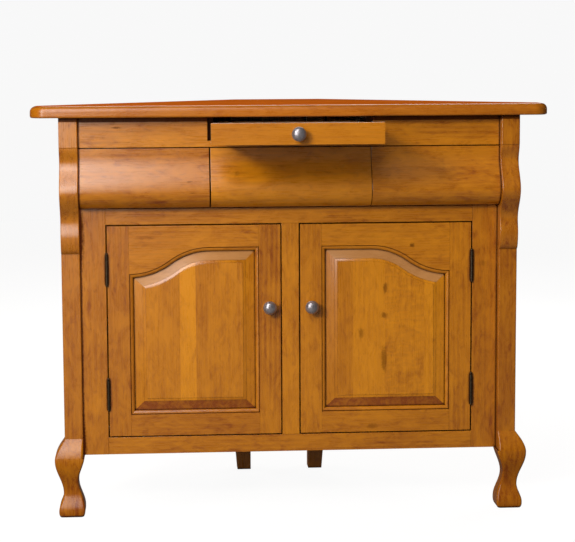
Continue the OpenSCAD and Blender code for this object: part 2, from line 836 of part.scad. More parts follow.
// One leaf with its knuckles; side is +1 for the frame leaf and -1 for the door leaf.
module knuckle_set(first, side) {
    leaf_x = side > 0 ? hinge_gap / 2 - leaf_t : -hinge_gap / 2;
    free = barrel_r + pin_play + clear;
    difference() {
        union() {
            span([leaf_x, free, -barrel_l / 2],
                [leaf_x + leaf_t, leaf_d - hinge_y, barrel_l / 2]);
            for (k = [first:2:knuckles - 1]) translate([0, 0, knuckle_z(k)]) {
                cylinder(r = barrel_r, h = knuckle_l);
                span([leaf_x, 0, 0], [leaf_x + leaf_t, free + overcut, knuckle_l]);
            }
        }
        translate([0, 0, -barrel_l]) cylinder(r = pin_r + pin_play, h = 2 * barrel_l);
    }
}

module at_hinges() {
    on_face() for (z = hinge_z) translate([hinge_x, hinge_y, z]) children();
}

module hinge_frame_leaves() {
    color(bronze) for (s = [0, 1]) mirror([s, 0, 0]) at_hinges() knuckle_set(0, 1);
}

module right_hinge_leaves() { color(bronze) at_hinges() knuckle_set(1, -1); }
module left_hinge_leaves() { mirrored() right_hinge_leaves(); }

module hinge_pins() {
    ball_r = finial_l * 0.42;
    neck_r = ball_r * 0.6;
    cap_t = 1;
    color(bronze) for (s = [0, 1]) mirror([s, 0, 0]) at_hinges() {
        cylinder(r = pin_r, h = barrel_l, center = true);
        for (e = [0, 1]) mirror([0, 0, e]) translate([0, 0, barrel_l / 2]) {
            cylinder(r = barrel_r, h = cap_t);
            translate([0, 0, cap_t]) cylinder(r1 = barrel_r, r2 = neck_r, h = cap_t);
            translate([0, 0, finial_l - ball_r]) sphere(ball_r);
            cylinder(r = neck_r, h = finial_l - ball_r);
        }
    }
}

// Catches that hold the doors shut

module door_catches() {
    y0 = frame_t + plate_t + front_gap;
    color(bronze) on_face() for (s = [0, 1]) mirror([s, 0, 0])
        span([catch_x, y0, door_z1 - catch_drop], [catch_x + catch_l, y0 + catch_t, dust_z]);
}

module right_strike_plate() {
    edge = 4;
    color(pewter) on_face() span([catch_x + edge, frame_t, door_z1 - catch_drop + edge / 2],
        [catch_x + catch_l - edge, frame_t + plate_t, door_z1 - edge / 2]);
}

module left_strike_plate() { mirrored() right_strike_plate(); }

top_board();
apron_board();
swell_panel_left();
swell_panel_right();
post_left();
post_right();
frame_stile_left();
frame_stile_right();
frame_mullion();
frame_mid_rail();
frame_bottom_rail();
frame_top_rails();
drawer_stiles();
tray_rail();
side_board_left();
side_board_right();
back_board_left();
back_board_right();
back_board_rear();
rear_leg_left();
rear_leg_right();
bottom_shelf();
loose_shelf();
shelf_pins();
dust_panel();
drawer_runners();
tray_runners();
door_catches();
hinge_frame_leaves();
hinge_pins();
drawer_front();
drawer_side_left();
drawer_side_right();
drawer_back();
drawer_bottom();
tray_front();
tray_side_left();
tray_side_right();
tray_back();
tray_bottom();
tray_knob();
tray_knob_screw();
left_hinge_stile();
left_lock_stile();
left_arched_rail();
left_bottom_rail();
left_panel();
left_knob();
left_knob_screw();
left_hinge_leaves();
right_hinge_stile();
right_lock_stile();
right_arched_rail();
right_bottom_rail();
right_panel();
right_knob();
right_knob_screw();
right_hinge_leaves();
left_strike_plate();
right_strike_plate();
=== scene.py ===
import json
from math import asin, atan, cos, pi, radians, sin, sqrt

import bmesh
import bpy
from mathutils import Matrix, Vector

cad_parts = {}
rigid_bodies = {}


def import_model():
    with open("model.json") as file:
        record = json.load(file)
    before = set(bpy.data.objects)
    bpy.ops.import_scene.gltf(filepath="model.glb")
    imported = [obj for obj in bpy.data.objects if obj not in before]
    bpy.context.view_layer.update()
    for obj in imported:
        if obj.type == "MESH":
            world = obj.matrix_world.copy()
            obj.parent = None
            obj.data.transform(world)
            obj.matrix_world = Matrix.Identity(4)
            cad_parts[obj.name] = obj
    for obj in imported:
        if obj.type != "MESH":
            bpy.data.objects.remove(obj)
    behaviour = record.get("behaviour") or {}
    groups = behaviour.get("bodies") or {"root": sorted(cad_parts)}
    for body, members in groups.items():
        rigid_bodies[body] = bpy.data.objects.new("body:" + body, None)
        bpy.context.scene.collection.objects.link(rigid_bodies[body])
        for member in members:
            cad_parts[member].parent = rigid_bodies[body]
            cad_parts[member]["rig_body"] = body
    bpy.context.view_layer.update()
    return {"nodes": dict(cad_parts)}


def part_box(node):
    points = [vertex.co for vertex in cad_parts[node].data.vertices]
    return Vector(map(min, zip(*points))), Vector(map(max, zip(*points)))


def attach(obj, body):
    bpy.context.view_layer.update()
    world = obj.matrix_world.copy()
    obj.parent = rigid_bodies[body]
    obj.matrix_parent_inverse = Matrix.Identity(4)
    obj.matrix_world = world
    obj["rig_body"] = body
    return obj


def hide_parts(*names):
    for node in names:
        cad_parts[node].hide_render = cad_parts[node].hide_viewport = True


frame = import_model()
nodes = frame["nodes"]
mm = 0.001
print("frame loaded with", len(nodes), "nodes")


# Levels and faces, read from the frame

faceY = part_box("frame_stile_left")[0].y         # front of the door frame and doors
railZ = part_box("frame_bottom_rail")[0].z        # under the bottom rail
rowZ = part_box("frame_mid_rail")[1].z            # under the swelling row
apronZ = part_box("apron_board")[0].z
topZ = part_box("apron_board")[1].z               # under the top board
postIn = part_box("apron_board")[1].x             # inner face of the right post
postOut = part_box("side_board_right")[1].x       # and its outer face


# Node helpers

def plug(tree, value, socket):
    # links a socket, and sets a plain value on it
    if isinstance(value, bpy.types.NodeSocket):
        tree.links.new(value, socket)
    else:
        socket.default_value = value


def calc(tree, operation, *values):
    node = tree.nodes.new("ShaderNodeMath")
    node.operation = operation
    for value, socket in zip(values, node.inputs):
        plug(tree, value, socket)
    return node.outputs[0]


def total(tree, *values):
    result = values[0]
    for value in values[1:]:
        result = calc(tree, "ADD", result, value)
    return result


def times(tree, *values):
    result = values[0]
    for value in values[1:]:
        result = calc(tree, "MULTIPLY", result, value)
    return result


def sway(tree, value, amount):
    # a pattern from 0 to 1, turned into a push of at most half of amount either way
    return times(tree, calc(tree, "SUBTRACT", value, 0.5), amount)


def vector(tree, x, y, z):
    node = tree.nodes.new("ShaderNodeCombineXYZ")
    for value, socket in zip((x, y, z), node.inputs):
        plug(tree, value, socket)
    return node.outputs[0]


def split(tree, value):
    node = tree.nodes.new("ShaderNodeSeparateXYZ")
    plug(tree, value, node.inputs[0])
    return node.outputs


def noise(tree, place, scale, detail=2.0, rough=0.5, bend=0.0):
    # scale is for the first two directions of place, and for the third
    stretched = tree.nodes.new("ShaderNodeVectorMath")
    stretched.operation = "MULTIPLY"
    plug(tree, place, stretched.inputs[0])
    stretched.inputs[1].default_value = (scale[0], scale[0], scale[1])
    node = tree.nodes.new("ShaderNodeTexNoise")
    plug(tree, stretched.outputs[0], node.inputs["Vector"])
    node.inputs["Scale"].default_value = 1.0
    node.inputs["Detail"].default_value = detail
    node.inputs["Roughness"].default_value = rough
    node.inputs["Distortion"].default_value = bend
    return node.outputs["Fac"]


def spread(tree, value, low, high, to=(0.0, 1.0)):
    node = tree.nodes.new("ShaderNodeMapRange")
    node.interpolation_type = "SMOOTHSTEP"
    plug(tree, value, node.inputs["Value"])
    node.inputs["From Min"].default_value = low
    node.inputs["From Max"].default_value = high
    node.inputs["To Min"].default_value, node.inputs["To Max"].default_value = to
    return node.outputs["Result"]


def blendColour(tree, factor, first, second):
    node = tree.nodes.new("ShaderNodeMix")
    node.data_type = "RGBA"
    plug(tree, factor, node.inputs["Factor"])
    plug(tree, first, node.inputs["A"])
    plug(tree, second, node.inputs["B"])
    return node.outputs["Result"]


def crevice(tree, reach, shut, bare, samples=8):
    # 1 in seams and corners and 0 on open faces
    node = tree.nodes.new("ShaderNodeAmbientOcclusion")
    node.samples = samples
    node.inputs["Distance"].default_value = reach
    return spread(tree, node.outputs["AO"], shut, bare, (1.0, 0.0))


def bumped(tree, height, strength, distance):
    node = tree.nodes.new("ShaderNodeBump")
    node.inputs["Strength"].default_value = strength
    node.inputs["Distance"].default_value = distance
    plug(tree, height, node.inputs["Height"])
    return node.outputs["Normal"]


def emptyMaterial(name):
    material = bpy.data.materials.new(name)
    material.use_nodes = True
    material.node_tree.nodes.clear()
    return material, material.node_tree


def output(tree, shader, kind="ShaderNodeOutputMaterial"):
    node = tree.nodes.new(kind)
    plug(tree, shader.outputs[0], node.inputs["Surface"])


def principled(tree, sockets):
    # a shader with its sockets filled, as the material's surface
    shader = tree.nodes.new("ShaderNodeBsdfPrincipled")
    for name, value in sockets.items():
        plug(tree, value, shader.inputs[name])
    output(tree, shader)


# Wood: one figure for all boards, with its grain along the third direction

patterns = {
    "slow": dict(scale=(8.0, 1.5)),                 # long changes of tone down a board
    "gaps": dict(scale=(30.0, 6.0), detail=1.0),    # where the ring lines fade out
    "mottle": dict(scale=(38.0, 15.0), detail=5.0, rough=0.62, bend=0.9),
    "streak": dict(scale=(230.0, 7.0), detail=3.0, rough=0.6),
    "fibre": dict(scale=(900.0, 22.0)),
    "curl": dict(scale=(34.0, 90.0), bend=1.4),
    "flame": dict(scale=(62.0, 24.0), detail=3.0, rough=0.55, bend=1.5),
    "fleck": dict(scale=(360.0, 60.0), detail=1.0)}
figure = dict(
    ringSpacing=0.011, pithDepth=0.05, pithSway=0.09, sideSway=0.03,        # metres
    gapLevels=(0.4, 0.62), flameLevels=(0.50, 0.74), fleckLevels=(0.69, 0.78),
    tone=0.55, slow=0.35, streak=0.34, fibre=0.14,                          # tone shares
    lines=-0.13, flame=-0.30, fleck=-0.22,
    seamReach=0.007, seamLevels=(0.50, 0.90),           # dark glaze in the seams, with painted shade in the crevices
    fibreHeight=0.7, streakHeight=0.5, fleckHeight=-0.6,
    rough=0.28, mottleRough=0.08, fibreRough=0.08, seamRough=0.2,
    knotAndShadowColour=(0.070, 0.014, 0.003, 1.0), seamGlazeShadeColour=(0.040, 0.007, 0.003, 1.0))
figureInputs = dict(
    Grain="NodeSocketVector", Tone="NodeSocketFloat", Swirl="NodeSocketFloat",
    Knot="NodeSocketFloat", Mottle="NodeSocketFloat", Curl="NodeSocketFloat",
    Lines="NodeSocketFloat", GlazeShade="NodeSocketFloat", Deep="NodeSocketColor",
    Light="NodeSocketColor")
figureOutputs = dict(Colour="NodeSocketColor", Roughness="NodeSocketFloat",
                     Height="NodeSocketFloat", Shine="NodeSocketFloat")


def makeFigure():
    tree = bpy.data.node_groups.new("cherryFigure", "ShaderNodeTree")
    for sockets, way in ((figureInputs, "INPUT"), (figureOutputs, "OUTPUT")):
        for name, kind in sockets.items():
            tree.interface.new_socket(name, in_out=way, socket_type=kind)
    given = tree.nodes.new("NodeGroupInput").outputs
    seen = {name: noise(tree, given["Grain"], **look) for name, look in patterns.items()}

    # growth rings round a pith that wanders behind the board
    pith = total(tree, sway(tree, seen["slow"], figure["pithSway"]), figure["pithDepth"])
    side = total(tree, split(tree, given["Grain"])[0],
                 sway(tree, seen["slow"], figure["sideSway"]), given["Swirl"])
    ring = calc(tree, "SQRT", total(tree, times(tree, side, side), times(tree, pith, pith)))
    wave = calc(tree, "SINE", times(tree, ring, 2 * pi / figure["ringSpacing"]))
    line = times(tree, calc(tree, "MULTIPLY_ADD", wave, 0.5, 0.5),
                 spread(tree, seen["gaps"], *figure["gapLevels"]))
    flame = spread(tree, seen["flame"], *figure["flameLevels"])
    fleck = spread(tree, seen["fleck"], *figure["fleckLevels"])

    value = total(
        tree, figure["tone"], given["Tone"], sway(tree, seen["slow"], figure["slow"]),
        sway(tree, seen["mottle"], given["Mottle"]), sway(tree, seen["curl"], given["Curl"]),
        sway(tree, seen["streak"], figure["streak"]),
        sway(tree, seen["fibre"], figure["fibre"]),
        times(tree, line, given["Lines"], figure["lines"]),
        times(tree, flame, given["Mottle"], figure["flame"]),
        times(tree, fleck, figure["fleck"]))
    limit = tree.nodes.new("ShaderNodeClamp")
    plug(tree, value, limit.inputs[0])
    # painted shade: seams and crevices darken where ambient occlusion finds them, along with
    # the glaze left there
    seam = times(tree, crevice(tree, figure["seamReach"], *figure["seamLevels"]),
                 given["GlazeShade"])
    colour = blendColour(tree, limit.outputs[0], given["Deep"], given["Light"])
    colour = blendColour(tree, given["Knot"], colour, figure["knotAndShadowColour"])
    colour = blendColour(tree, seam, colour, figure["seamGlazeShadeColour"])

    results = dict(
        Colour=colour,
        Roughness=total(tree, figure["rough"],
                        sway(tree, seen["mottle"], figure["mottleRough"]),
                        sway(tree, seen["fibre"], figure["fibreRough"]),
                        times(tree, seam, figure["seamRough"])),
        Height=total(tree, sway(tree, seen["fibre"], figure["fibreHeight"]),
                     sway(tree, seen["streak"], figure["streakHeight"]),
                     times(tree, fleck, figure["fleckHeight"])),
        Shine=calc(tree, "SUBTRACT", 1.0, calc(tree, "MAXIMUM", seam, given["Knot"])))
    out = tree.nodes.new("NodeGroupOutput")
    for name, result in results.items():
        plug(tree, result, out.inputs[name])
    return tree


figureTree = makeFigure()
finishes = {                                # darkest and lightest wood, seam glaze with painted shade, and lacquer
    "case": dict(deep=(0.235, 0.048, 0.000), light=(0.690, 0.243, 0.001), glazeShade=1.0,
                 mottle=0.85, coat=0.5, coatRough=0.24, specular=1.0),
    "top": dict(deep=(0.230, 0.042, 0.000), light=(0.560, 0.180, 0.003), glazeShade=0.8,
                mottle=0.6, coat=0.2, coatRough=0.24, specular=0.85),
    "topFace": dict(deep=(0.330, 0.048, 0.002), light=(0.700, 0.160, 0.012), glazeShade=0.8,
                    mottle=0.6, coat=0.0, coatRough=0.24, specular=0.0),
    # a near-black finish: painted shadow under the top board, and painted shade with some
    # glaze in the door's quirks and lines
    "glazeShade": dict(deep=(0.060, 0.012, 0.001), light=(0.150, 0.040, 0.003), glazeShade=1.0,
                  mottle=0.6, coat=0.0, coatRough=0.24, specular=0.10),
    # paler, bluer wood with little lacquer: a painted sheen for the bevel under the arch
    "bevel": dict(deep=(0.350, 0.138, 0.036), light=(0.590, 0.272, 0.084), glazeShade=1.0,
                  mottle=0.6, coat=0.1, coatRough=0.3, specular=0.45),
    # near-black wood: painted shade for boards that stand deep inside the case
    "shade": dict(deep=(0.030, 0.010, 0.003), light=(0.075, 0.030, 0.012), glazeShade=0.0,
                  mottle=0.4, coat=0.0, coatRough=0.3, specular=0.10),
    "inner": dict(deep=(0.400, 0.205, 0.070), light=(0.790, 0.560, 0.300), glazeShade=0.0,
                  mottle=0.25, coat=0.0, coatRough=0.3, specular=0.30)}
# which of x, y and z lie across the grain, through the board and along the grain
directions = {"x": (2, 1, 0), "y": (0, 2, 1), "z": (0, 1, 2), "zSide": (1, 0, 2)}
board = dict(seedShift=0.517, jointShift=0.731, shiftAcross=0.4, bump=0.25,
             bumpDepth=0.0003, footShadeLevels=(0.05, 0.13), footShineLevels=(0.13, 0.19))
knotShape = dict(grain=(260.0, 260.0), ragged=1.1, fade=-0.18, edge=(1.25, 0.35))


def knotAndShadowMasks(tree, place, knots):
    # how far the rings bend round the knots, and how dark the knots are; the painted shadow
    # strips beside the left post are made here too
    x, y, z = split(tree, place)
    swirl, dark = 0.0, 0.0
    for knot in knots:
        u = calc(tree, "DIVIDE", calc(tree, "SUBTRACT", x, knot["at"][0]), knot["size"][0])
        v = calc(tree, "DIVIDE", calc(tree, "SUBTRACT", z, knot["at"][1]), knot["size"][1])
        away = total(tree, times(tree, u, u), times(tree, v, v))
        push = calc(tree, "EXPONENT", times(tree, away, knotShape["fade"]))
        swirl = total(tree, swirl, times(tree, push, knot["swirl"]))
        ragged = sway(tree, noise(tree, place, knotShape["grain"]), knotShape["ragged"])
        spot = spread(tree, total(tree, calc(tree, "SQRT", away), ragged), *knotShape["edge"])
        dark = total(tree, dark, times(tree, spot, knot["dark"]))
    return swirl, dark


def wood(name, finish, along, seed, tone=0.0, lines=1.0, mottle=None, joints=(), tones=(),
         knots=(), footShade=0.0, footShine=1.0):
    # along is the way the grain runs; joints are glue lines across it, with a change of
    # tone and curl at each; near the floor the tone darkens, a painted shade, and the
    # lacquer keeps footShine of its shine
    look = finishes[finish]
    material, tree = emptyMaterial(name)
    place = tree.nodes.new("ShaderNodeTexCoord").outputs["Object"]
    parts = split(tree, place)
    across, depth, length = (parts[i] for i in directions[along])
    shift, curl = seed * board["seedShift"], 0.0
    for joint, (toneStep, curlStep) in zip(joints, tones):
        past = calc(tree, "GREATER_THAN", across, joint)
        tone = total(tree, tone, times(tree, past, toneStep))
        curl = total(tree, curl, times(tree, past, curlStep))
        shift = total(tree, shift, times(tree, past, board["jointShift"]))
    # painted shade: the tone darkens towards the floor
    if footShade:
        nearFloor = spread(tree, parts[2], *board["footShadeLevels"], (1.0, 0.0))
        tone = total(tree, tone, times(tree, nearFloor, footShade))
    swirl, dark = knotAndShadowMasks(tree, place, knots)

    shell = tree.nodes.new("ShaderNodeGroup")
    shell.node_tree = figureTree
    grain = vector(tree, total(tree, across, sway(tree, shift, board["shiftAcross"])), depth,
                   total(tree, length, shift))
    given = dict(Grain=grain, Tone=tone, Swirl=swirl, Knot=dark, Curl=curl, Lines=lines,
                 Mottle=look["mottle"] if mottle is None else mottle, GlazeShade=look["glazeShade"],
                 Deep=(*look["deep"], 1.0), Light=(*look["light"], 1.0))
    for key, value in given.items():
        plug(tree, value, shell.inputs[key])

    shine = shell.outputs["Shine"]
    if footShine < 1:
        aboveFoot = spread(tree, parts[2], *board["footShineLevels"], (footShine, 1.0))
        shine = times(tree, shine, aboveFoot)
    # a level that is the same all over the board stays a plain number on the shader
    varies = look["glazeShade"] > 0 or len(knots) > 0 or footShine < 1
    specular, coat = (times(tree, shine, level) if varies and level else level
                      for level in (look["specular"], look["coat"]))
    principled(tree, {
        "Base Color": shell.outputs["Colour"], "Roughness": shell.outputs["Roughness"],
        "Specular IOR Level": specular, "Coat Weight": coat,
        "Coat Roughness": look["coatRough"],
        "Normal": bumped(tree, shell.outputs["Height"], board["bump"], board["bumpDepth"])})
    return material


# Metal of the knobs, hinges and screws

metals = {
    "pewter": dict(light=(0.62, 0.56, 0.58), dark=(0.14, 0.12, 0.12), rough=0.34,
                   cloud=140.0, worn=0.9, metallic=0.84),
    "bronze": dict(light=(0.140, 0.105, 0.065), dark=(0.040, 0.030, 0.022), rough=0.45,
                   cloud=220.0, worn=0.5, metallic=1.0),
    "steel": dict(light=(0.56, 0.56, 0.55), dark=(0.30, 0.30, 0.30), rough=0.34,
                  cloud=300.0, worn=0.5, metallic=1.0)}
casting = dict(cloudLevels=(0.3, 0.7), cloudTint=0.5, hollowReach=0.004,
               hollowLevels=(0.35, 0.85), pits=2600.0, cloudRough=0.15, pitRough=0.1,
               bump=0.2, bumpDepth=0.0001)


def metal(name, light, dark, rough, cloud, worn, metallic):
    # cloudy colour, fine pits, and dark hollows
    material, tree = emptyMaterial(name)
    place = tree.nodes.new("ShaderNodeTexCoord").outputs["Object"]
    clouds = noise(tree, place, (cloud, cloud), 3.0, 0.6)
    pits = noise(tree, place, (casting["pits"], casting["pits"]))
    hollow = crevice(tree, casting["hollowReach"], *casting["hollowLevels"])
    cloudy = spread(tree, clouds, *casting["cloudLevels"])
    tint = total(tree, times(tree, cloudy, casting["cloudTint"]), times(tree, hollow, worn))
    principled(tree, {
        "Base Color": blendColour(tree, tint, (*light, 1.0), (*dark, 1.0)),
        "Metallic": metallic,
        "Roughness": total(tree, rough, sway(tree, clouds, casting["cloudRough"]),
                           sway(tree, pits, casting["pitRough"])),
        "Normal": bumped(tree, pits, casting["bump"], casting["bumpDepth"])})
    return material


# near-black wood for painted shadow under the top and painted shade in the door's quirks and
# lines
glazeShadeWood = wood("glazeShadeWood", "glazeShade", "z", 25.0)
pewter, bronze, steel = (metal(name, **look) for name, look in metals.items())
print("finishes ready")


# Mesh helpers; what is closer than a limit, in metres, becomes one

limits = dict(weld=2e-6, sliver=1e-7, copyWeld=1e-5)


def steps(start, end, count):
    return [start + (end - start) * i / count for i in range(count + 1)]


def waveReach(knots, z):
    # level at each knot (z, reach), like a cosine between them
    for (z0, r0), (z1, r1) in zip(knots, knots[1:]):
        if (z0 - z) * (z1 - z) <= 0:
            return r0 + (r1 - r0) * (1 - cos(pi * (z - z0) / (z1 - z0))) / 2
    return knots[0][1] if abs(z - knots[0][0]) < abs(z - knots[-1][0]) else knots[-1][1]


def loft(mesh, rings, slotAt=lambda k, i: 0):
    # slotAt gives the material slot of a face by its ring and its place round it
    rows = [[mesh.verts.new(point) for point in ring] for ring in rings]
    count = len(rows[0])
    for k, (lower, upper) in enumerate(zip(rows, rows[1:])):
        for i in range(count):
            j = (i + 1) % count
            face = mesh.faces.new((lower[i], lower[j], upper[j], upper[i]))
            face.material_index = slotAt(k, i)
    mesh.faces.new(rows[0][::-1])
    mesh.faces.new(rows[-1])


def tidyMesh(mesh):
    bmesh.ops.remove_doubles(mesh, verts=mesh.verts, dist=limits["weld"])
    bmesh.ops.dissolve_degenerate(mesh, edges=mesh.edges, dist=limits["sliver"])
    bmesh.ops.recalc_face_normals(mesh, faces=mesh.faces)


def ease(mesh, width, segments=2, pick=None, over=30):
    # rounds the edges sharper than over degrees whose middle passes pick
    edges = [e for e in mesh.edges
             if e.is_manifold and e.calc_face_angle(0) > radians(over)
             and (pick is None or pick((e.verts[0].co + e.verts[1].co) / 2))]
    bmesh.ops.bevel(mesh, geom=edges, offset=width, segments=segments, profile=0.5,
                    affect="EDGES", clamp_overlap=True)


def camel(node):
    first, *rest = node.split("_")
    return first + "".join(word.capitalize() for word in rest) + "Piece"


def piece(mesh, node, materials, sharp=32):
    # turns a mesh into the shown piece that stands for a node; sharp is in degrees
    data = bpy.data.meshes.new(camel(node))
    mesh.to_mesh(data)
    mesh.free()
    for polygon in data.polygons:
        polygon.use_smooth = True
    data.set_sharp_from_angle(angle=radians(sharp))
    for material in materials:
        data.materials.append(material)
    shown = bpy.data.objects.new(camel(node), data)
    bpy.context.scene.collection.objects.link(shown)
    normals = shown.modifiers.new("evenNormals", "WEIGHTED_NORMAL")
    normals.keep_sharp = True
    normals.weight = 90         # of 100: large faces keep the rounded arrises even
    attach(shown, nodes[node]["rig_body"])
    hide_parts(node)
    return shown


def easedCopy(node, width, materials, cut=None):
    # the node's own shape with its arrises eased, and an edge round it at the level cut
    mesh = bmesh.new()
    mesh.from_mesh(nodes[node].data)
    bmesh.ops.remove_doubles(mesh, verts=mesh.verts, dist=limits["copyWeld"])
    bmesh.ops.dissolve_limit(mesh, angle_limit=radians(1), verts=mesh.verts,
                             edges=mesh.edges)
    ease(mesh, width * mm)
    if cut:
        bmesh.ops.bisect_plane(mesh, geom=mesh.verts[:] + mesh.edges[:] + mesh.faces[:],
                               plane_co=(0, 0, cut), plane_no=(0, 0, 1))
    return piece(mesh, node, materials)


def secondSlot(shown, pick):
    # the faces that pass pick take the piece's second material
    for polygon in shown.data.polygons:
        if pick(polygon):
            polygon.material_index = 1


def paint(names, material):
    # a node whose own shape is right keeps it and gets its finish
    for node in names:
        nodes[node].data.materials.clear()
        nodes[node].data.materials.append(material)


# Top board

top = dict(cornerRadius=30, upperRound=12, underRound=4, cornerSteps=14, edgeSteps=9,
           rearArris=0.8, rearStart=10, faceSkin=0.1)
topLook = dict(along="x", seed=3.1, tone=0.05, joints=(-0.235, -0.09, 0.06, 0.20),
               tones=((0.10, 0.0), (-0.14, 0.0), (0.12, 0.0), (-0.08, 0.0)))


def topBoard():
    low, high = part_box("top_board")
    rearHalf = max(v.co.x for v in nodes["top_board"].data.vertices
                   if v.co.y > high.y - mm)
    wallLine = rearHalf + high.y            # x + y all along the diagonal rear edge
    radius = top["cornerRadius"] * mm

    def outline(inset, z):
        points = []
        for side, first in ((-1, 180), (1, 270)):
            middle = Vector((side * (high.x - radius), low.y + radius, z))
            for angle in steps(radians(first), radians(first + 90), top["cornerSteps"]):
                reach = radius - inset
                points.append(middle + Vector((reach * cos(angle), reach * sin(angle), 0)))
        edge = high.x - inset
        return points + [Vector(p) for p in (
            (edge, wallLine - edge, z), (rearHalf, high.y, z), (-rearHalf, high.y, z),
            (-edge, wallLine - edge, z))]

    under, upper = top["underRound"] * mm, top["upperRound"] * mm
    turns = steps(0, pi / 2, top["edgeSteps"])
    rings = [outline(under * (1 - sin(a)), low.z + under * (1 - cos(a))) for a in turns]
    rings += [outline(upper * (1 - cos(a)), high.z - upper * (1 - sin(a))) for a in turns]
    mesh = bmesh.new()
    loft(mesh, rings)
    tidyMesh(mesh)
    wallStart = wallLine - high.x + top["rearStart"] * mm
    ease(mesh, top["rearArris"] * mm, pick=lambda middle: middle.y > wallStart)
    shown = piece(mesh, "top_board", [wood("topCherry", "top", **topLook),
                                      wood("topFaceCherry", "topFace", **topLook)])
    level = high.z - top["faceSkin"] * mm
    secondSlot(shown, lambda face: face.normal.z > 0.99 and face.center.z > level)


topBoard()
print("top board done")


# Front posts: a scroll above, a cabriole foot below; reaches and heights in mm, and two
# rings a hair apart where the shape steps

post = dict(proud=22, depth=40, cap=22, capEdge=2, capEdgeDrop=1.5, coveDrop=31, cove=11,
            swell=40, swellRise=37, neckDrop=27, neck=8.5, smallDrop=57, small=13.5,
            scrollDrop=93, legHeight=168, kneeAt=0.74, knee=21, ankleAt=0.31, ankle=4,
            toeHeight=13, toe=14, solePull=5, innerKneeAt=0.82, innerKnee=3.5,
            innerAnkleAt=0.46, innerAnkle=-10.5, innerToeHeight=16.9, innerToe=2.5,
            innerSolePull=6, soleCurve=2.6, arris=1.8, footArris=4.5, arrisStart=6,
            arrisRun=24, floorArris=0.6, cornerSteps=4, legSteps=86, scrollSteps=130,
            soleRings=(0.4, 1.2, 2.2), scrollStart=0.15, hair=0.01, shadeLine=9, sharp=24)
postLooks = {
    "post_right": dict(along="z", seed=6.3, tone=-0.12, lines=1.2, footShade=-0.14,
                       footShine=0.55),
    "post_left": dict(along="z", seed=4.3, tone=-0.10, lines=1.2, footShade=-0.14,
                      footShine=0.55)}
rowLevel, apronLevel = rowZ / mm, apronZ / mm
scrollEnd = rowLevel - post["scrollDrop"]


def scrollReach(z):
    smallZ = rowLevel - post["smallDrop"]
    if z >= apronLevel:
        chamfer = max(0, 1 - (z - apronLevel) / post["capEdge"])
        return post["cap"] - post["capEdgeDrop"] * chamfer
    if z >= smallZ:
        return waveReach([(apronLevel, post["cap"] - post["capEdgeDrop"]),
                          (apronLevel - post["coveDrop"], post["cove"]),
                          (rowLevel + post["swellRise"], post["swell"]),
                          (rowLevel - post["neckDrop"], post["neck"]),
                          (smallZ, post["small"])], z)
    if z > scrollEnd:
        share = (smallZ - z) / (smallZ - scrollEnd)
        return post["small"] * sqrt(max(0, 1 - share ** 2))
    return 0


def soleReach(toe, height, pull, z):
    # the toe rolls in towards the sole
    share = 1 - z / height
    return toe - pull * (1 - sqrt(max(0, 1 - share ** post["soleCurve"])))


def legOut(z):
    legHeight, toeZ = post["legHeight"], post["toeHeight"]
    kneeZ = legHeight * post["kneeAt"]
    if z >= legHeight:
        return 0
    if z >= kneeZ:
        return post["knee"] * sin(pi / 2 * (legHeight - z) / (legHeight - kneeZ))
    if z >= toeZ:
        return waveReach([(kneeZ, post["knee"]), (legHeight * post["ankleAt"], post["ankle"]),
                          (toeZ, post["toe"])], z)
    return soleReach(post["toe"], toeZ, post["solePull"], z)


def legIn(z):
    legHeight, toeZ = post["legHeight"], post["innerToeHeight"]
    if z >= legHeight:
        return 0
    if z >= toeZ:
        return waveReach([(legHeight, 0), (legHeight * post["innerKneeAt"], post["innerKnee"]),
                          (legHeight * post["innerAnkleAt"], post["innerAnkle"]),
                          (toeZ, post["innerToe"])], z)
    return soleReach(post["innerToe"], toeZ, post["innerSolePull"], z)


def roundedPlan(x0, x1, y0, y1, radius, z, side):
    points = []
    for cx, cy, first in ((x1 - radius, y0 + radius, -90), (x1 - radius, y1 - radius, 0),
                          (x0 + radius, y1 - radius, 90), (x0 + radius, y0 + radius, 180)):
        for angle in steps(radians(first), radians(first + 90), post["cornerSteps"]):
            points.append((side * (cx + radius * cos(angle)), cy + radius * sin(angle), z))
    return points


def frontPost(node, side):
    underRail, shadeZ = railZ / mm, topZ / mm - post["shadeLine"]
    heights = set(steps(0, post["legHeight"], post["legSteps"]))
    heights |= set(steps(scrollEnd, topZ / mm, post["scrollSteps"]))
    heights |= {post["legHeight"] + post["hair"], scrollEnd + post["scrollStart"],
                *post["soleRings"], underRail - post["hair"], underRail + post["hair"],
                apronLevel + post["capEdge"], shadeZ}
    rings = []
    for z in sorted(heights):
        out, inner = legOut(z), legIn(z)
        if z > underRail:
            inner = min(inner, 0)           # the frame stands against the post here
        low = max(0, min(1, (post["legHeight"] + post["arrisStart"] - z) / post["arrisRun"]))
        arris = (post["arris"] + (post["footArris"] - post["arris"]) * low) * mm
        front = faceY - (post["proud"] + scrollReach(z) + out) * mm
        back = faceY + (post["depth"] - post["proud"] + inner) * mm
        rings.append(roundedPlan(postIn - inner * mm, postOut + out * mm, front, back, arris,
                                 z * mm, side))
    mesh = bmesh.new()
    loft(mesh, rings)
    tidyMesh(mesh)
    ease(mesh, post["floorArris"] * mm, pick=lambda middle: middle.z < 0.5 * mm)
    finish = wood(camel(node), "case", **postLooks[node])
    shown = piece(mesh, node, [finish, glazeShadeWood], post["sharp"])
    # painted shadow of the top board: the post's strip under it takes the near-black finish
    secondSlot(shown, lambda face: face.center.z > shadeZ * mm)


frontPost("post_right", 1)
frontPost("post_left", -1)
print("posts done")


# Drawer row and apron

def postSeamShadow(z, dark, size=(0.004, 9.0)):
    # a painted shadow of the left post, with the glaze in its seam: a dark strip down the edge
    # of a board beside the post, all its height unless size says less; z is its middle
    return dict(at=(-postIn, z), size=size, dark=dark, swirl=0.0)


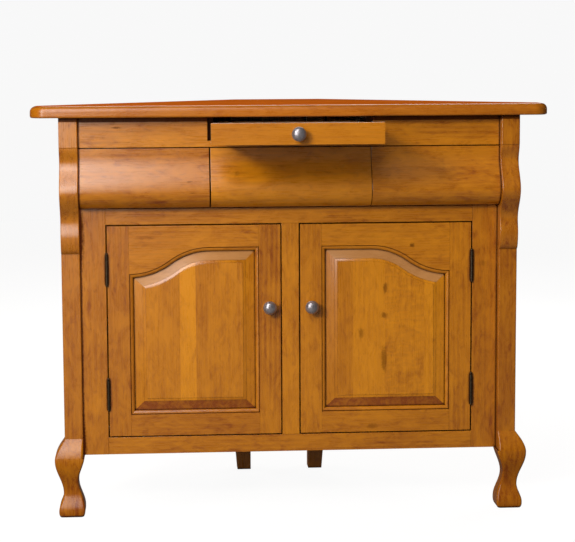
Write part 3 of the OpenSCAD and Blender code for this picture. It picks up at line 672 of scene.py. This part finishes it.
row = dict(flat=18, rise=37, swell=24, turn=12, proud=21, steps=26, arris=0.9, sharp=24)
rowLooks = {
    "swell_panel_left": dict(along="x", seed=1.7, tone=-0.08, knots=[
        dict(at=(-0.2145, 0.7162), size=(0.007, 0.0016), dark=0.85, swirl=0.004),
        dict(at=(-0.2081, 0.6927), size=(0.006, 0.0012), dark=0.5, swirl=0.003),
        postSeamShadow(0.75, 0.85)]),
    "drawer_front": dict(along="x", seed=2.9, tone=0.15, knots=[
        dict(at=(-0.114, 0.7329), size=(0.006, 0.006), dark=0.35, swirl=0.006)]),
    "swell_panel_right": dict(along="x", seed=4.4, tone=-0.02, knots=[
        dict(at=(0.330, 0.722), size=(0.020, 0.010), dark=0.12, swirl=0.010)])}


def rowSection(low, high):
    # (y, z) of the swelling face, from above
    peak = rowZ + row["rise"] * mm
    start = apronZ - row["flat"] * mm
    swell, turn = row["swell"] * mm, row["turn"] * mm
    knots = [(start, 0.0), (peak, swell)]
    section = [(0, high)]
    section += [(-waveReach(knots, z), z) for z in steps(start, peak, row["steps"])]
    for t in steps(0, pi / 2, row["steps"])[1:]:
        reach = swell - (swell + turn) * (1 - cos(t))
        section.append((-reach, peak - (peak - low) * sin(t)))
    return [(faceY - row["proud"] * mm + y, z) for y, z in section]


def swellPiece(node, look):
    low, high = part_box(node)
    section = rowSection(low.z, high.z) + [(high.y, low.z), (high.y, high.z)]
    mesh = bmesh.new()
    loft(mesh, [[(x, y, z) for y, z in section] for x in (low.x, high.x)])
    tidyMesh(mesh)
    ease(mesh, row["arris"] * mm, pick=lambda middle: middle.y < faceY - mm)
    piece(mesh, node, [wood(camel(node), "case", **look)], row["sharp"])


for node, look in rowLooks.items():
    swellPiece(node, look)

apron = dict(shadeLine=10.5, arris=0.8)
apronLook = dict(along="x", seed=6.2, tone=0.10, lines=1.6, knots=[
    dict(at=(-0.3657, 0.8300), size=(0.011, 0.0022), dark=0.8, swirl=0.008),
    postSeamShadow(0.83, 0.85)])
# painted shadow of the top board: the apron's strip under it takes the near-black finish
apronShadeZ = topZ - apron["shadeLine"] * mm
apronShown = easedCopy("apron_board", apron["arris"],
                       [wood("apronCherry", "case", **apronLook), glazeShadeWood], apronShadeZ)
secondSlot(apronShown, lambda face: face.center.z > apronShadeZ)
print("drawer row done")


# Door frame

frameArris = 0.7
# the strips on the left stile are painted shadows of the post, darkest beside its scroll and
# its knee
frameLooks = {
    "frame_stile_left": dict(along="z", seed=7.7, tone=-0.07, knots=[
        postSeamShadow(0.605, 1.0, (0.0095, 0.075)), postSeamShadow(0.42, 0.8),
        postSeamShadow(0.150, 0.8, (0.008, 0.05))]),
    "frame_stile_right": dict(along="z", seed=8.3, tone=-0.06, knots=[
        dict(at=(0.4165, 0.5323), size=(0.006, 0.007), dark=0.35, swirl=0.008)]),
    "frame_mullion": dict(along="z", seed=9.1, tone=0.14),
    "frame_mid_rail": dict(along="x", seed=10.6, tone=0.0, lines=1.5),
    "frame_bottom_rail": dict(along="x", seed=11.4, tone=-0.04)}
for node, look in frameLooks.items():
    easedCopy(node, frameArris, [wood(camel(node), "case", **look)])
print("door frame done")


# Doors, drawn as the right one and mirrored for the left; sizes in mm

door = dict(member=46, crown=47, archRise=56, archFlat=106, mouldWidth=8.5, mouldDepth=9,
            quirk=1.8, tongue=6, bevelWidth=20, fieldInset=1.0, fieldStep=3.2, fieldSlope=6,
            fieldEdge=(0.5, 0.3), fieldLine=0.2, lineShares=(0.3, 0.8),
            fieldCurve=((0.8, 0.34), (0.4, 0.58)), bevelTop=0.9, tuck=0.7, play=0.15,
            thick=20, edge=1.6, joint=0.25, buried=1, beside=0.3, skin=0.1, archSteps=26,
            mouldSteps=9, sharp=26)
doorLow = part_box("right_lock_stile")[0]
doorHigh = Vector((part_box("right_hinge_stile")[1].x, 0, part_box("right_lock_stile")[1].z))
lockX = doorLow.x + door["member"] * mm
hingeX = doorHigh.x - door["member"] * mm
sillZ = doorLow.z + door["member"] * mm
archHigh = doorHigh.z - door["crown"] * mm
archLow = archHigh - door["archRise"] * mm
archX = lockX + door["archFlat"] * mm
archAngle = 2 * atan(door["archRise"] * mm / (hingeX - archX))
archRadius = (hingeX - archX) / (2 * sin(archAngle))
grooveNear = faceY + door["mouldDepth"] * mm
grooveFar = grooveNear + door["tongue"] * mm
doorBack = faceY + door["thick"] * mm


def archLine(inset):
    # (x, z) along the arched rail's lower edge, moved into the opening, hinge side first
    wide, tight = archRadius + inset, archRadius - inset
    low = [(hingeX - wide * sin(a), archLow + archRadius - wide * cos(a))
           for a in steps(asin(inset / wide), archAngle, door["archSteps"])]
    high = [(archX + tight * sin(a), archHigh - archRadius + tight * cos(a))
            for a in steps(archAngle, 0, door["archSteps"])]
    return low + high[1:] + [(lockX + inset, archHigh - inset)]


def mouldSection():
    # (reach into the opening, y) of the moulded edge, closed behind inside the board
    quirk, width, buried = (door[key] * mm for key in ("quirk", "mouldWidth", "buried"))
    drop = door["mouldDepth"] * mm - 2 * quirk
    curve = [(quirk + (width - quirk) * sin(a), faceY + quirk + drop * (1 - cos(a)))
             for a in steps(0, pi / 2, door["mouldSteps"])]
    return [(-buried, faceY + quirk), *curve, (width, grooveNear), (-buried, grooveNear)]


def lipSection():
    # the lip that holds the panel from behind
    width, buried = door["mouldWidth"] * mm, door["buried"] * mm
    return [(-buried, grooveFar), (width, grooveFar), (width, doorBack), (-buried, doorBack)]


def absorb(mesh, part):
    data = bpy.data.meshes.new("part")
    part.to_mesh(data)
    part.free()
    mesh.from_mesh(data)
    bpy.data.meshes.remove(data)


def addEdging(mesh, ends):
    # the moulding and the lip, between the lines that ends gives for a reach
    for section in (mouldSection(), lipSection()):
        lines = [ends(u) for u, y in section]
        rings = [[(line[i][0], y, line[i][1]) for line, (u, y) in zip(lines, section)]
                 for i in range(len(lines[0]))]
        part = bmesh.new()
        loft(part, rings, lambda k, i: 1 if i == 0 else 0)      # dark glaze and painted shade in the quirk
        tidyMesh(part)
        absorb(mesh, part)


def block(x0, x1, z0, z1):
    part = bmesh.new()
    corners = [(x0, faceY), (x1, faceY), (x1, doorBack), (x0, doorBack)]
    loft(part, [[(x, y, z) for x, y in corners] for z in (z0, z1)])
    return part


def addBoard(mesh, part, outer):
    # the arrises that pass outer, at the door's edge, are eased more than the joints
    ease(part, door["edge"] * mm, 3, outer)
    ease(part, door["joint"] * mm, 1,
         lambda middle: middle.y < faceY + door["skin"] * mm and not outer(middle), 60)
    absorb(mesh, part)


def near(a, b):
    return abs(a - b) < door["beside"] * mm


def doorStile(x0, x1, outerX, mouldX, away, topInner):
    def outer(middle):
        return (near(middle.x, outerX) or near(middle.z, doorLow.z)
                or near(middle.z, doorHigh.z))

    mesh = bmesh.new()
    addBoard(mesh, block(x0, x1, doorLow.z, doorHigh.z), outer)
    addEdging(mesh, lambda u: [(mouldX + away * u, sillZ + u),
                               (mouldX + away * u, topInner - u)])
    return mesh


def bottomRail():
    mesh = bmesh.new()
    addBoard(mesh, block(lockX, hingeX, doorLow.z, sillZ),
             lambda middle: near(middle.z, doorLow.z))
    addEdging(mesh, lambda u: [(lockX + u, sillZ + u), (hingeX - u, sillZ + u)])
    return mesh


def archedRail():
    line = [(hingeX, doorHigh.z), *archLine(0), (lockX, doorHigh.z)]
    part = bmesh.new()
    loft(part, [[(x, y, z) for x, z in line] for y in (faceY, doorBack)])
    tidyMesh(part)
    mesh = bmesh.new()
    addBoard(mesh, part, lambda middle: middle.z > doorHigh.z - 2 * mm)
    addEdging(mesh, archLine)
    return mesh


def raisedPanel():
    width, play, tuck, step, slope, line = (door[key] * mm for key in (
        "mouldWidth", "play", "tuck", "fieldStep", "fieldSlope", "fieldLine"))
    start = width + door["bevelWidth"] * mm
    front = faceY + door["fieldInset"] * mm
    edge, drop = (size * mm for size in door["fieldEdge"])
    lineTop, lineFoot = door["lineShares"]
    # (reach into the opening, y): field, its ogee step, then bevel and tongue
    profile = [(start + slope + edge, front), (start + slope, front + drop),
               (start + slope - line, front + lineTop * step),
               *((start + slope * u, front + step * v) for u, v in door["fieldCurve"]),
               (start + line, front + lineFoot * step), (start, front + step),
               (start - door["bevelTop"] * mm, front + step + line),
               (width, grooveNear + play), (tuck, grooveNear + play),
               (tuck, grooveFar - play)]
    rings = []
    for inset, y in profile:
        path = [(hingeX - inset, sillZ + inset), *archLine(inset),
                (lockX + inset, sillZ + inset)]
        rings.append([(x, y, z) for x, z in path])
    lowest = len(rings[0]) - 1

    def slotAt(k, i):
        if k in (1, 5):                     # painted shade and glaze in the lines above and below the ogee
            return 1
        if k in (6, 7) and i == lowest:     # lower bevel, across the grain: darker end grain and painted shade
            return 2
        if k in (6, 7) and 0 < i < lowest - 1:
            return 3                        # bevel under the arch, paler: a painted sheen
        return 0

    mesh = bmesh.new()
    loft(mesh, rings, slotAt)
    tidyMesh(mesh)
    return mesh


def doorSide(mesh, side):
    if side < 0:
        bmesh.ops.scale(mesh, vec=(-1, 1, 1), verts=mesh.verts)
        bmesh.ops.reverse_faces(mesh, faces=mesh.faces)
    return mesh


doorLooks = {
    "left": {
        "hinge_stile": dict(along="z", seed=12.2, tone=-0.11),
        "lock_stile": dict(along="z", seed=13.9, tone=0.0, lines=1.8),
        "arched_rail": dict(along="x", seed=14.5, tone=0.08),
        "bottom_rail": dict(along="x", seed=15.1, tone=-0.13),
        "panel": dict(along="z", seed=16.8, tone=0.08, lines=0.8, mottle=0.7,
                      joints=(-0.2370, -0.2028), tones=((0.28, -0.1), (-0.30, 0.1)))},
    "right": {
        "hinge_stile": dict(along="z", seed=17.3, tone=0.07, lines=1.4),
        "lock_stile": dict(along="z", seed=18.7, tone=0.05),
        "arched_rail": dict(along="x", seed=19.2, tone=0.07, knots=[
            dict(at=(0.2623, 0.5731), size=(0.006, 0.005), dark=0.75, swirl=0.025)]),
        "bottom_rail": dict(along="x", seed=20.4, tone=0.0, knots=[
            dict(at=(0.1762, 0.1798), size=(0.014, 0.006), dark=0.45, swirl=0.02)]),
        "panel": dict(
            along="z", seed=21.6, tone=0.10, lines=0.7, mottle=0.65,
            joints=(0.1351, 0.2045, 0.2889), tones=((0.18, 0.0), (-0.12, 0.7), (0.16, -0.6)),
            knots=[
                dict(at=(0.2043, 0.4807), size=(0.005, 0.013), dark=0.6, swirl=0.02),
                dict(at=(0.2022, 0.4221), size=(0.007, 0.007), dark=0.6, swirl=0.02),
                dict(at=(0.1524, 0.3837), size=(0.006, 0.013), dark=0.5, swirl=0.012),
                dict(at=(0.2023, 0.3250), size=(0.007, 0.030), dark=0.6, swirl=0.0)])}}
# the lower bevel is darker end grain, with painted shade of a face that looks down
endGrainShade = wood("endGrainShade", "case", "y", 26.0, -0.42, mottle=1.0)
# paler wood for the bevel under the arch, a painted sheen
archBevelSheen = wood("archBevelSheen", "bevel", "x", 29.0)
for side, name in ((1, "right"), (-1, "left")):
    shapes = {
        "hinge_stile": doorStile(hingeX, doorHigh.x, doorHigh.x, hingeX, -1, archLow),
        "lock_stile": doorStile(doorLow.x, lockX, doorLow.x, lockX, 1, archHigh),
        "arched_rail": archedRail(),
        "bottom_rail": bottomRail(),
        "panel": raisedPanel()}
    for part, mesh in shapes.items():
        node = name + "_" + part
        finish = wood(camel(node), "case", **doorLooks[name][part])
        piece(doorSide(mesh, side), node, [finish, glazeShadeWood, endGrainShade, archBevelSheen],
              door["sharp"])
print("doors done")


# Knobs: foot, waist, rolled rim and low dome; sizes in mm

knob = dict(width=29, length=27, foot=8, footThick=2.2, footEdge=0.5, footSlope=0.7,
            neck=5.1, waist=2.2, waistRise=2.6, waistSteps=5, flareRise=7, flareSteps=8,
            rim=2.6, rimAt=0.7, rimTurn=58, rimSteps=9, domeInset=0.75, domeSink=0.9,
            domeStart=4, domeSteps=10, turns=56, sharp=40)


def knobProfile():
    # (radius, height above the wood), from the middle of the foot to the top of the dome
    foot, footThick, neck, rim = (knob[key] for key in ("foot", "footThick", "neck", "rim"))
    edge, half = knob["footEdge"], knob["width"] / 2
    rimZ = knob["length"] * knob["rimAt"]
    domeZ = rimZ + rim * knob["domeSink"]
    domeBase, domeRise = half - rim * knob["domeInset"], knob["length"] - domeZ
    profile = [(0, 0), (foot - edge, 0), (foot, edge), (foot, footThick - edge),
               (foot - knob["footSlope"], footThick)]
    profile += [(neck + knob["waist"] * (1 - sin(t)),
                 footThick + knob["waistRise"] * (1 - cos(t)))
                for t in steps(0, pi / 2, knob["waistSteps"])]
    profile += [(neck + (half - rim - neck) * (1 - cos(t)),
                 rimZ - knob["flareRise"] + (knob["flareRise"] - rim) * sin(t))
                for t in steps(0, pi / 2, knob["flareSteps"])]
    profile += [(half - rim + rim * cos(t), rimZ + rim * sin(t))
                for t in steps(-pi / 2, radians(knob["rimTurn"]), knob["rimSteps"])]
    profile += [(domeBase * cos(t), domeZ + domeRise * sin(t))
                for t in steps(radians(knob["domeStart"]), pi / 2, knob["domeSteps"])]
    return profile


def turnedKnob(node):
    low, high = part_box(node)
    middle = (low + high) / 2
    profile = knobProfile()
    mesh = bmesh.new()
    rows = []
    for i in range(knob["turns"]):
        a = 2 * pi * i / knob["turns"]
        rows.append([mesh.verts.new((middle.x + r * mm * cos(a), high.y - z * mm,
                                     middle.z + r * mm * sin(a))) for r, z in profile])
    for a, b in zip(rows, rows[1:] + rows[:1]):
        for i in range(len(profile) - 1):
            mesh.faces.new((a[i], a[i + 1], b[i + 1], b[i]))
    tidyMesh(mesh)
    piece(mesh, node, [pewter], knob["sharp"])


for node in ("left_knob", "right_knob", "tray_knob"):
    turnedKnob(node)


# Hinges, catches and screws

paint(("hinge_frame_leaves", "left_hinge_leaves", "right_hinge_leaves", "hinge_pins",
       "door_catches"), bronze)
paint(("left_knob_screw", "right_knob_screw", "tray_knob_screw", "shelf_pins",
       "left_strike_plate", "right_strike_plate"), steel)
print("hardware done")


# Tray and drawer boxes, sides, backs, rear legs and the boards inside

tray = dict(arris=1.2)
trayLook = dict(along="x", seed=22.5, tone=0.02, lines=0.5, mottle=0.35)
plainBoards = [                             # seed is the first board's, and counts on
    dict(names=("tray_side_left", "tray_side_right", "drawer_side_left",
                "drawer_side_right"), finish="inner", along="y", seed=23.0, arris=0.8),
    dict(names=("tray_back", "tray_bottom", "drawer_back", "drawer_bottom"),
         finish="inner", along="x", seed=27.0, arris=0.5),
    dict(names=("side_board_left", "side_board_right"), finish="case", along="zSide",
         seed=31.0, arris=0.6),
    dict(names=("back_board_left", "back_board_right", "back_board_rear"), finish="case",
         along="z", seed=33.0, tone=-0.05, arris=0.6),
    dict(names=("rear_leg_left", "rear_leg_right"), finish="case", along="z", seed=36.0,
         arris=1.0),
    dict(names=("bottom_shelf", "loose_shelf", "dust_panel"), finish="inner", along="x",
         seed=38.0, arris=0.6)]
easedCopy("tray_front", tray["arris"], [wood("trayCherry", "case", **trayLook)])
for look in plainBoards:
    for i, node in enumerate(look["names"]):
        finish = wood(camel(node), look["finish"], look["along"], look["seed"] + i,
                      look.get("tone", 0.0))
        easedCopy(node, look["arris"], [finish])
# boards that hardly show keep their own shape
# painted shade: these boards take the near-black shade finish
for i, node in enumerate(("drawer_stiles", "frame_top_rails", "tray_rail")):
    paint([node], wood(camel(node), "shade", "x", 41.0 + i))
paint(["tray_runners"], wood("trayRunners", "shade", "y", 44.0))
paint(["drawer_runners"], wood("drawerRunners", "inner", "y", 45.0))
print("case and inside done")


# Camera, as the photograph was taken; angles in radians

view = dict(place=(-0.277, -3.990, 0.9835), yaw=0.0691, pitch=0.1175, roll=0.00495,
            lens=115.34, sensor=36, shift=(0.0006, -0.0008), clip=(0.1, 60))


def makeCamera():
    yaw, pitch, roll = view["yaw"], view["pitch"], view["roll"]
    ahead = Vector((sin(yaw) * cos(pitch), cos(yaw) * cos(pitch), -sin(pitch)))
    level = Vector((cos(yaw), -sin(yaw), 0))
    upright = level.cross(ahead)
    right = level * cos(roll) - upright * sin(roll)
    up = level * sin(roll) + upright * cos(roll)
    data = bpy.data.cameras.new("camera")
    data.lens, data.sensor_width = view["lens"], view["sensor"]
    data.shift_x, data.shift_y = view["shift"]
    data.clip_start, data.clip_end = view["clip"]
    camera = bpy.data.objects.new("camera", data)
    bpy.context.scene.collection.objects.link(camera)
    turn = Matrix((right, up, -ahead)).transposed().to_4x4()
    camera.matrix_world = Matrix.Translation(view["place"]) @ turn
    bpy.context.scene.camera = camera


makeCamera()


# Lights; those with passes shine past the front posts, which throw no shadow beside them

lamps = {
    "window": dict(place=(-1.12, -2.45, 1.90), aim=(-0.1, -0.1, 0.7), size=(1.2, 2.9),
                   power=54, passes=True, mirrored=True),
    "key": dict(place=(-1.99, -2.94, 1.98), aim=(0.0, -0.1, 0.6), size=(0.6, 0.6),
                power=75, passes=True, mirrored=False),
    "roof": dict(place=(-0.50, -1.22, 2.97), aim=(-0.45, -0.12, 0.72), size=(1.2, 0.6),
                 power=7, passes=False, mirrored=True),
    "back": dict(place=(0.4, 3.4, 2.6), aim=(0.0, 0.0, 0.5), size=(2.4, 1.6),
                 power=40, passes=False, mirrored=True),
    "wallLeft": dict(place=(-2.4, 2.1, 0.8), aim=(-0.2, 0.1, 0.45), size=(1.4, 1.4),
                     power=42, passes=False, mirrored=False),
    "wallRight": dict(place=(2.4, 2.1, 0.8), aim=(0.2, 0.1, 0.45), size=(1.4, 1.4),
                      power=42, passes=False, mirrored=False)}


def makeLamps():
    postsPassed = bpy.data.collections.new("postsPassed")
    for node in ("post_left", "post_right"):
        postsPassed.objects.link(bpy.data.objects[camel(node)])
    for member in postsPassed.collection_objects:
        member.light_linking.link_state = "EXCLUDE"
    for name, lamp in lamps.items():
        data = bpy.data.lights.new(name, "AREA")
        data.shape = "RECTANGLE"
        data.size, data.size_y = lamp["size"]
        data.energy = lamp["power"]
        shown = bpy.data.objects.new(name, data)
        bpy.context.scene.collection.objects.link(shown)
        place = Vector(lamp["place"])
        ahead = Vector(lamp["aim"]) - place
        shown.location = place
        shown.rotation_euler = ahead.to_track_quat("-Z", "Y").to_euler()
        shown.visible_camera = False
        shown.visible_glossy = lamp["mirrored"]
        if lamp["passes"]:
            shown.light_linking.blocker_collection = postsPassed


makeLamps()


# Floor and background, lifted to near white where the camera sees them

room = dict(floorSize=14.0, floorColour=(0.12, 0.115, 0.11), floorLift=0.915, airLift=0.94,
            ambient=0.20, mirrored=0.01)


def makeFloor():
    mesh = bpy.data.meshes.new("floor")
    half = room["floorSize"] / 2
    mesh.from_pydata([(-half, -half, 0), (half, -half, 0), (half, half, 0), (-half, half, 0)],
                     [], [(0, 1, 2, 3)])
    floor = bpy.data.objects.new("floor", mesh)
    bpy.context.scene.collection.objects.link(floor)
    material, tree = emptyMaterial("paleFloor")
    diffuse = tree.nodes.new("ShaderNodeBsdfDiffuse")
    diffuse.inputs["Color"].default_value = (*room["floorColour"], 1.0)
    rays = tree.nodes.new("ShaderNodeLightPath").outputs
    lift = tree.nodes.new("ShaderNodeEmission")
    plug(tree, times(tree, rays["Is Camera Ray"], room["floorLift"]),
         lift.inputs["Strength"])
    both = tree.nodes.new("ShaderNodeAddShader")
    plug(tree, diffuse.outputs[0], both.inputs[0])
    plug(tree, lift.outputs[0], both.inputs[1])
    output(tree, both)
    mesh.materials.append(material)


def makeAir():
    world = bpy.data.worlds.new("studio")
    bpy.context.scene.world = world
    world.use_nodes = True
    tree = world.node_tree
    tree.nodes.clear()
    rays = tree.nodes.new("ShaderNodeLightPath").outputs
    strength = 0.0
    for ray, level in (("Is Camera Ray", room["airLift"]),
                       ("Is Transmission Ray", room["airLift"]),
                       ("Is Diffuse Ray", room["ambient"]),
                       ("Is Glossy Ray", room["mirrored"])):
        strength = calc(tree, "MAXIMUM", strength, times(tree, rays[ray], level))
    air = tree.nodes.new("ShaderNodeBackground")
    air.inputs["Color"].default_value = (1.0, 1.0, 1.0, 1.0)
    plug(tree, strength, air.inputs["Strength"])
    output(tree, air, "ShaderNodeOutputWorld")


makeFloor()
makeAir()
bpy.context.scene.view_settings.view_transform = "Standard"
print("camera, lamps and floor done")
